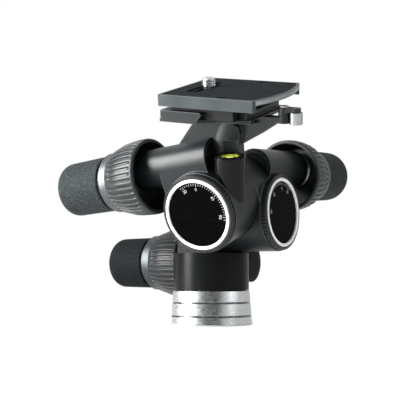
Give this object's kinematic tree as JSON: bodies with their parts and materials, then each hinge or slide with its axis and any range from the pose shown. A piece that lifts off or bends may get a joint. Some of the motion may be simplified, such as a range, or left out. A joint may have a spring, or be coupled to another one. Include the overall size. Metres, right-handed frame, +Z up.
{
  "type": "geared tripod head",
  "caption": "Geared tripod head with worm drives for pan, tilt and roll, rubber-gripped knobs with release collars, angle dials, a round level and a sliding camera plate",
  "frame": {"origin": "centre of the tripod thread's mouth in the base's bottom face", "axes": "+Z up along the pan axis, +X out of the tilt dial, -Y out of the roll dial; stored tilted and rolled as pictured"},
  "size_m": [0.2029, 0.2007, 0.178],
  "materials": {
    "bezel_metal": "knurled, dark",
    "bright_steel": "turned and brushed",
    "bronze": "bearing bronze, machined",
    "cap_black": "matte black",
    "chrome_tip": "polished",
    "collar_plastic": "ribbed, satin",
    "dark_paint": "satin dark paint on cast alloy",
    "dial_black": "gloss black face",
    "dial_white": "white ring",
    "gear_brass": "cut teeth",
    "grip_rubber": "fine grained rubber",
    "housing_paint": "satin near-black paint on cast alloy",
    "hub_metal": "dark anodised",
    "level_black": "gloss black",
    "lever_black": "satin black",
    "pad_rubber": "speckled grip pad",
    "plate_grey": "satin grey",
    "ring_metal": "fine textured silver",
    "screw_steel": "zinc plated",
    "shaft_steel": "ground steel",
    "spring_steel": "drawn wire",
    "vial_green": "clear yellow-green liquid"
  },
  "bodies": {
    "base": {"base_ring": "bright_steel", "tripod_bush": "bronze", "pan_shaft": "shaft_steel", "pan_wheel": "gear_brass", "pan_screw": "screw_steel"},
    "pan": {"pan_housing": "housing_paint", "pan_bearing": "hub_metal", "pan_bush": "bronze", "pan_tube_cap": "cap_black", "tilt_shaft": "shaft_steel", "tilt_wheel": "gear_brass", "tilt_nut": "screw_steel", "tilt_dial": "dial_black", "pan_spring": "spring_steel"},
    "pan_release": {"pan_sleeve": "shaft_steel", "pan_collar": "collar_plastic", "pan_ring": "ring_metal"},
    "pan_knob": {"pan_worm": "shaft_steel", "pan_hub": "hub_metal", "pan_grip": "grip_rubber"},
    "tilt": {"tilt_casting": "dark_paint", "tilt_bush": "bronze", "tilt_bezel": "bezel_metal", "tilt_scale_ring": "dial_white", "tilt_tube_cap": "cap_black", "roll_shaft": "shaft_steel", "roll_wheel": "gear_brass", "roll_nut": "screw_steel", "tilt_spring": "spring_steel"},
    "tilt_release": {"tilt_sleeve": "shaft_steel", "tilt_collar": "collar_plastic", "tilt_ring": "ring_metal"},
    "tilt_knob": {"tilt_worm": "shaft_steel", "tilt_hub": "hub_metal", "tilt_grip": "grip_rubber"},
    "roll": {"roll_casting": "dark_paint", "roll_bush": "bronze", "roll_bezel": "bezel_metal", "roll_scale_ring": "dial_white", "roll_dial": "dial_black", "roll_tube_cap": "cap_black", "level_boss": "level_black", "level_vial": "vial_green", "level_rim": "level_black", "clamp_body": "dark_paint", "clamp_screws": "screw_steel", "lever_pivot": "screw_steel", "roll_spring": "spring_steel"},
    "roll_release": {"roll_sleeve": "shaft_steel", "roll_collar": "collar_plastic", "roll_ring": "ring_metal"},
    "roll_knob": {"roll_worm": "shaft_steel", "roll_hub": "hub_metal", "roll_grip": "grip_rubber"},
    "lever": {"clamp_lever": "lever_black", "lever_tip": "chrome_tip"},
    "plate": {"camera_plate": "plate_grey", "plate_pad": "pad_rubber"},
    "slider": {"screw_slider": "screw_steel"},
    "screw": {"camera_screw": "chrome_tip"}
  },
  "joints": [
    {"name": "pan_turn", "type": "hinge", "parent": "base", "child": "pan", "pos_m": [0, 0, 0], "axis": [0, 0, 1], "continuous": true},
    {"name": "tilt_turn", "type": "hinge", "parent": "pan", "child": "tilt", "pos_m": [0, 0, 0.0795], "axis": [1, 0, 0], "range_deg": [-60, 10]},
    {"name": "roll_turn", "type": "hinge", "parent": "tilt", "child": "roll", "pos_m": [0.0274, -0.00592, 0.09576], "axis": [0, 0.9397, 0.342], "range_deg": [-25, 50]},
    {"name": "pan_release_turn", "type": "hinge", "parent": "pan", "child": "pan_release", "pos_m": [0, 0.03152, 0.0455], "axis": [-1, 0, 0], "range_deg": [0, 75], "stiffness_Nm_per_rad": 0.1, "springref_deg": -28.65},
    {"name": "pan_knob_turn", "type": "hinge", "parent": "pan_release", "child": "pan_knob", "pos_m": [0, 0.02702, 0.0455], "axis": [-1, 0, 0], "continuous": true},
    {"name": "tilt_release_turn", "type": "hinge", "parent": "tilt", "child": "tilt_release", "pos_m": [0.0424, -0.00275, 0.1109], "axis": [0, 0.9962, 0.0872], "range_deg": [0, 75], "stiffness_Nm_per_rad": 0.1, "springref_deg": -28.65},
    {"name": "tilt_knob_turn", "type": "hinge", "parent": "tilt_release", "child": "tilt_knob", "pos_m": [0.0424, -0.00235, 0.10642], "axis": [0, 0.9962, 0.0872], "range_deg": [-440, 2640]},
    {"name": "roll_release_turn", "type": "hinge", "parent": "roll", "child": "roll_release", "pos_m": [0.02465, -0.05189, 0.11244], "axis": [-0.9962, 0.0298, -0.0819], "range_deg": [0, 75], "stiffness_Nm_per_rad": 0.1, "springref_deg": -28.65},
    {"name": "roll_knob_turn", "type": "hinge", "parent": "roll_release", "child": "roll_knob", "pos_m": [0.02505, -0.05036, 0.10822], "axis": [-0.9962, 0.0298, -0.0819], "range_deg": [-2200, 1100]},
    {"name": "lever_turn", "type": "hinge", "parent": "roll", "child": "lever", "pos_m": [0.08489, -0.0496, 0.13391], "axis": [0.1736, -0.3368, 0.9254], "range_deg": [0, 75]},
    {"name": "plate_slide", "type": "slide", "parent": "roll", "child": "plate", "axis": [0, 0.9397, 0.342], "range_m": [0, 0.095]},
    {"name": "screw_slide", "type": "slide", "parent": "plate", "child": "slider", "axis": [0, 0.9397, 0.342], "range_m": [-0.018, 0.012]},
    {"name": "screw_turn", "type": "hinge", "parent": "slider", "child": "screw", "pos_m": [0.01233, -0.01951, 0.09364], "axis": [0.1736, -0.3368, 0.9254], "continuous": true}
  ],
  "couplings": [
    {"joint": "pan_knob_turn", "follows": "pan_turn", "ratio": 44},
    {"joint": "tilt_knob_turn", "follows": "tilt_turn", "ratio": -44},
    {"joint": "roll_knob_turn", "follows": "roll_turn", "ratio": -44}
  ]
}
